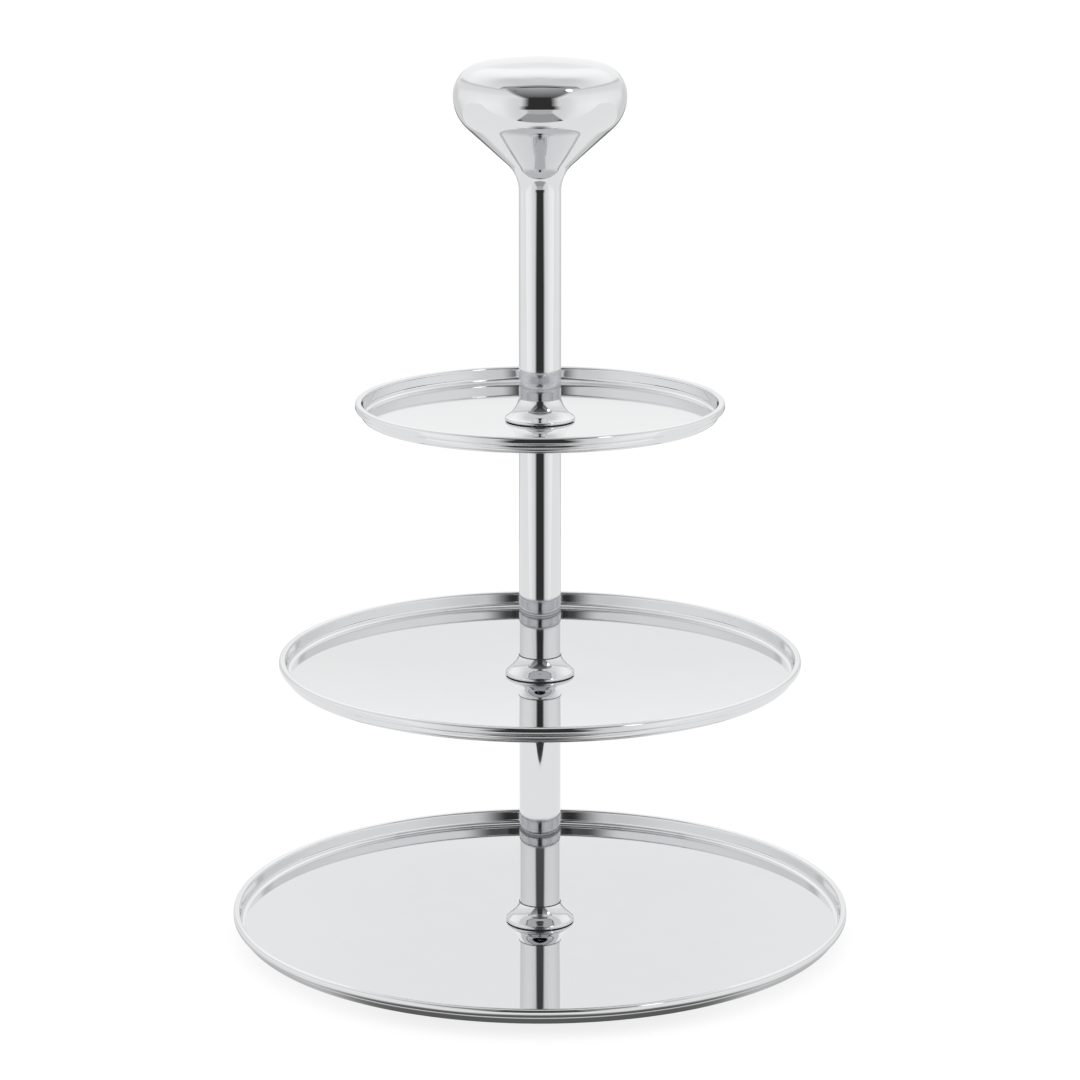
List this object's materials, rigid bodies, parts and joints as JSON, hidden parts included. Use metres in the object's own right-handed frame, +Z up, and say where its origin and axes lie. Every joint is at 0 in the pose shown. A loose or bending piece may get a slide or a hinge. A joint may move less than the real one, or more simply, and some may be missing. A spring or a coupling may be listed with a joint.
{
  "type": "tiered cake stand",
  "caption": "Tall serving stand with round rimmed trays, widest at the bottom, on a screwed central column that ends in a rounded carrying knob.",
  "frame": {"origin": "centre of the circle that the stand's pads rest on, on the resting surface", "axes": "+Z up along the column, towards the knob; the stand is round, so X and Y have no other meaning, and -Y is called its front"},
  "size_m": [0.3, 0.3, 0.4263],
  "materials": {
    "polished_steel": "mirror-polished stainless steel",
    "plain_steel": "plain turned stainless steel",
    "silicone": "matt silicone rubber"
  },
  "bodies": {
    "base": {"bottom_tray": "polished_steel", "base_pads": "silicone", "base_screw": "plain_steel", "base_washer": "plain_steel"},
    "lower_seat": {"lower_foot_gasket": "silicone"},
    "lower_column": {"lower_tube": "polished_steel", "lower_foot": "polished_steel", "lower_foot_insert": "plain_steel", "lower_top_insert": "plain_steel", "lower_top_gasket": "silicone"},
    "middle_tier": {"middle_tray": "polished_steel"},
    "middle_seat": {"middle_foot_gasket": "silicone"},
    "middle_column": {"middle_tube": "polished_steel", "middle_foot": "polished_steel", "middle_foot_insert": "plain_steel", "middle_stud": "plain_steel", "middle_top_insert": "plain_steel", "middle_top_gasket": "silicone"},
    "top_tier": {"top_tray": "polished_steel"},
    "handle_seat": {"handle_foot_gasket": "silicone"},
    "handle": {"handle_stem": "polished_steel", "handle_foot": "polished_steel", "handle_foot_insert": "plain_steel", "handle_stud": "plain_steel", "knob_neck_insert": "plain_steel", "knob_lower_shell": "polished_steel", "knob_upper_shell": "polished_steel"}
  },
  "joints": [
    {"name": "lower_column_lift", "type": "slide", "parent": "base", "child": "lower_seat", "axis": [0, 0, 1], "range_m": [0, 0.0125]},
    {"name": "lower_column_unscrew", "type": "hinge", "parent": "lower_seat", "child": "lower_column", "pos_m": [0, 0, 0], "axis": [0, 0, 1], "range_deg": [0, 3601]},
    {"name": "middle_tray_turn", "type": "hinge", "parent": "lower_column", "child": "middle_tier", "pos_m": [0, 0, 0], "axis": [0, 0, 1], "continuous": true},
    {"name": "middle_column_lift", "type": "slide", "parent": "lower_column", "child": "middle_seat", "axis": [0, 0, 1], "range_m": [0, 0.0125]},
    {"name": "middle_column_unscrew", "type": "hinge", "parent": "middle_seat", "child": "middle_column", "pos_m": [0, 0, 0], "axis": [0, 0, 1], "range_deg": [0, 3601]},
    {"name": "top_tray_turn", "type": "hinge", "parent": "middle_column", "child": "top_tier", "pos_m": [0, 0, 0], "axis": [0, 0, 1], "continuous": true},
    {"name": "handle_lift", "type": "slide", "parent": "middle_column", "child": "handle_seat", "axis": [0, 0, 1], "range_m": [0, 0.0125]},
    {"name": "handle_unscrew", "type": "hinge", "parent": "handle_seat", "child": "handle", "pos_m": [0, 0, 0], "axis": [0, 0, 1], "range_deg": [0, 3601]}
  ],
  "couplings": [
    {"joint": "lower_column_unscrew", "follows": "lower_column_lift", "rad_per_m": 5026.5},
    {"joint": "middle_column_unscrew", "follows": "middle_column_lift", "rad_per_m": 5026.5},
    {"joint": "handle_unscrew", "follows": "handle_lift", "rad_per_m": 5026.5}
  ]
}
